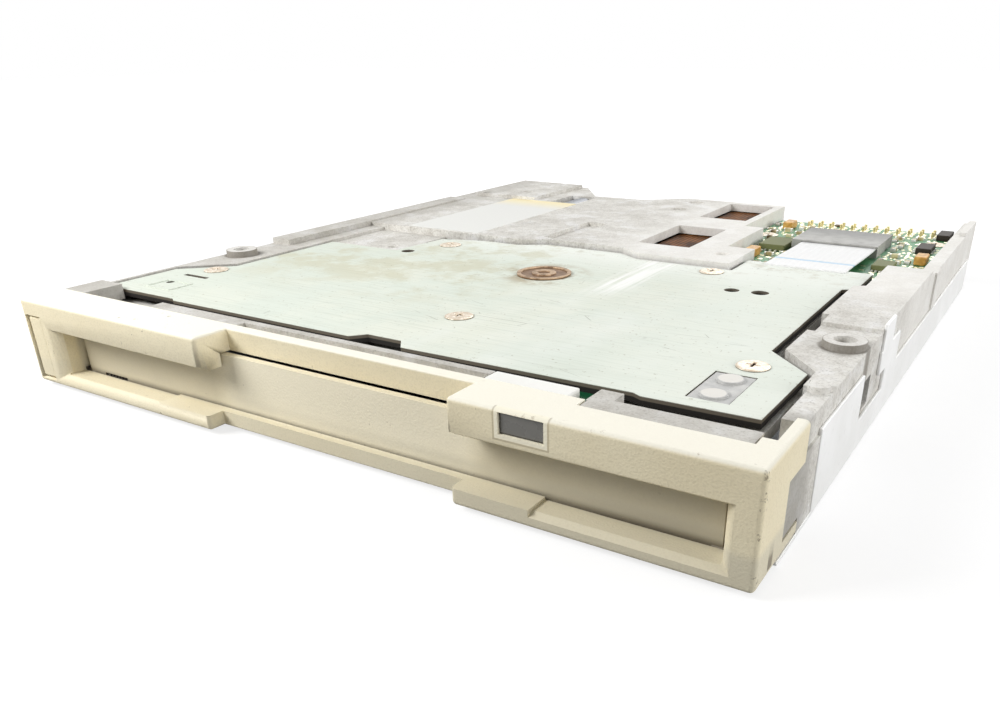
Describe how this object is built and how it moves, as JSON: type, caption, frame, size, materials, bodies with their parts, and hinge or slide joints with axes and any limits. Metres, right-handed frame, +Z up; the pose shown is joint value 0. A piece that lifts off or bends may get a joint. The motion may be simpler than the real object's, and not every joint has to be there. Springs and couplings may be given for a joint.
{
  "type": "floppy disk drive",
  "caption": "Slim floppy disk drive, motor side up, with slot bezel, sprung door flap, eject slide and lifting disk holder, spindle motor and a lead-screw head carriage",
  "frame": {"origin": "centre of the drive's footprint, on the outer face of the cover that it lies on", "axes": "X across the front, Y from the bezel to the rear, Z up through the motor plate"},
  "size_m": [0.1016, 0.121, 0.0127],
  "materials": {
    "cast": "die-cast, mottled, matt",
    "cream": "fine textured, aged cream",
    "lens_grey": "smoked translucent lens",
    "white_plastic": "moulded, matt",
    "black_plastic": "moulded, glass filled",
    "grey_plastic": "moulded connector grey",
    "cover_steel": "zinc plated sheet",
    "steel": "plated sheet and ground pins",
    "spring_steel": "drawn wire",
    "plate_mint": "pale green-grey insulated steel board, scuffed",
    "screw_gold": "yellow passivated",
    "bronze": "sintered bronze",
    "coil_copper": "enamelled winding wire",
    "magnet_black": "bonded ferrite",
    "board_green": "solder mask over laminate",
    "amber": "moulded capacitors",
    "cable_white": "flat cable film",
    "flex_amber": "polyimide flex strip",
    "pin_gold": "flash gold plated",
    "label_white": "blank paper label"
  },
  "bodies": {
    "drive": {"chassis": "cast", "bezel": "cream", "flap_spring": "spring_steel", "indicator_lens": "lens_grey", "lamp_holder": "white_plastic", "lamp_board": "board_green", "cover": "cover_steel", "eject_spring": "spring_steel", "motor_plate": "plate_mint", "plate_screws": "screw_gold", "spindle_bush": "bronze", "stator_core": "steel", "stator_coils": "coil_copper", "index_sensor": "black_plastic", "switch_unit": "grey_plastic", "disk_switch": "black_plastic", "guide_rods": "steel", "rod_clamps": "spring_steel", "clamp_screws": "screw_gold", "stepper_motor": "steel", "stepper_bracket": "steel", "bracket_screws": "screw_gold", "track_zero_sensor": "black_plastic", "main_board": "board_green", "board_screws": "screw_gold", "board_chips": "black_plastic", "board_capacitors": "amber", "cable_connector": "grey_plastic", "motor_cable": "cable_white", "head_flex": "flex_amber", "interface_header": "black_plastic", "header_pins_group": "pin_gold", "blank_label": "label_white"},
    "slide": {"eject_slide": "steel", "eject_button": "cream"},
    "holder": {"disk_holder": "steel", "holder_pins": "steel", "lever_rivet": "steel", "lever_spring": "spring_steel"},
    "lever": {"shutter_lever": "steel"},
    "flap": {"flap": "cream"},
    "rotor": {"rotor_yoke": "steel", "rotor_magnet": "magnet_black", "spindle_shaft": "steel", "disk_chuck": "steel"},
    "drive_pin": {"drive_pin": "steel"},
    "carriage": {"head_carriage": "black_plastic", "side_zero_head": "grey_plastic", "lead_nut": "white_plastic", "arm_pivot_pin": "steel", "arm_spring": "spring_steel"},
    "arm": {"head_arm": "black_plastic", "side_one_head": "grey_plastic"},
    "lead_screw": {"lead_screw": "steel"},
    "write_protect": {"write_protect_plunger": "white_plastic"},
    "density": {"density_plunger": "white_plastic"},
    "disk_in": {"disk_in_plunger": "white_plastic"}
  },
  "joints": [
    {"name": "eject_travel", "type": "slide", "parent": "drive", "child": "slide", "axis": [0, -1, 0], "range_m": [0, 0.005], "deforming": ["eject_spring"]},
    {"name": "holder_lift", "type": "slide", "parent": "drive", "child": "holder", "axis": [0, 0, 1], "range_m": [0, 0.0015]},
    {"name": "flap_hinge", "type": "hinge", "parent": "drive", "child": "flap", "pos_m": [0.0014, -0.0566, 0.00175], "axis": [-1, 0, 0], "range_deg": [0, 88], "stiffness_Nm_per_rad": 0.004, "deforming": ["flap_spring"]},
    {"name": "spindle_spin", "type": "hinge", "parent": "drive", "child": "rotor", "pos_m": [0.0014, -0.0122, 0.008], "axis": [0, 0, 1], "continuous": true},
    {"name": "drive_pin_press", "type": "slide", "parent": "rotor", "child": "drive_pin", "axis": [0, 0, 1], "range_m": [0, 0.0004], "stiffness_N_per_m": 60},
    {"name": "head_travel", "type": "slide", "parent": "drive", "child": "carriage", "axis": [0, 1, 0], "range_m": [-0.0148, 0], "deforming": ["head_flex"]},
    {"name": "screw_turn", "type": "hinge", "parent": "drive", "child": "lead_screw", "pos_m": [-0.0258, 0.0295, 0.0086], "axis": [0, 1, 0], "range_deg": [-1420.9, 0.1]},
    {"name": "arm_pivot", "type": "hinge", "parent": "carriage", "child": "arm", "pos_m": [0.0014, 0.051, 0.0024], "axis": [-1, 0, 0], "range_deg": [0, 8.05], "deforming": ["arm_spring"]},
    {"name": "shutter_swing", "type": "hinge", "parent": "holder", "child": "lever", "pos_m": [-0.014, 0.0395, 0.0015], "axis": [0, 0, 1], "range_deg": [-62, 0], "stiffness_Nm_per_rad": 0.002, "deforming": ["lever_spring"]},
    {"name": "write_protect_press", "type": "slide", "parent": "drive", "child": "write_protect", "axis": [0, 0, 1], "range_m": [0, 0.0008], "stiffness_N_per_m": 60},
    {"name": "density_press", "type": "slide", "parent": "drive", "child": "density", "axis": [0, 0, 1], "range_m": [0, 0.0008], "stiffness_N_per_m": 60},
    {"name": "disk_in_press", "type": "slide", "parent": "drive", "child": "disk_in", "axis": [0, 0, 1], "range_m": [0, 0.0008], "stiffness_N_per_m": 60}
  ],
  "couplings": [
    {"joint": "holder_lift", "follows": "eject_travel", "ratio": 0.3},
    {"joint": "arm_pivot", "follows": "eject_travel", "rad_per_m": 27.925},
    {"joint": "screw_turn", "follows": "head_travel", "rad_per_m": 1675.5}
  ]
}
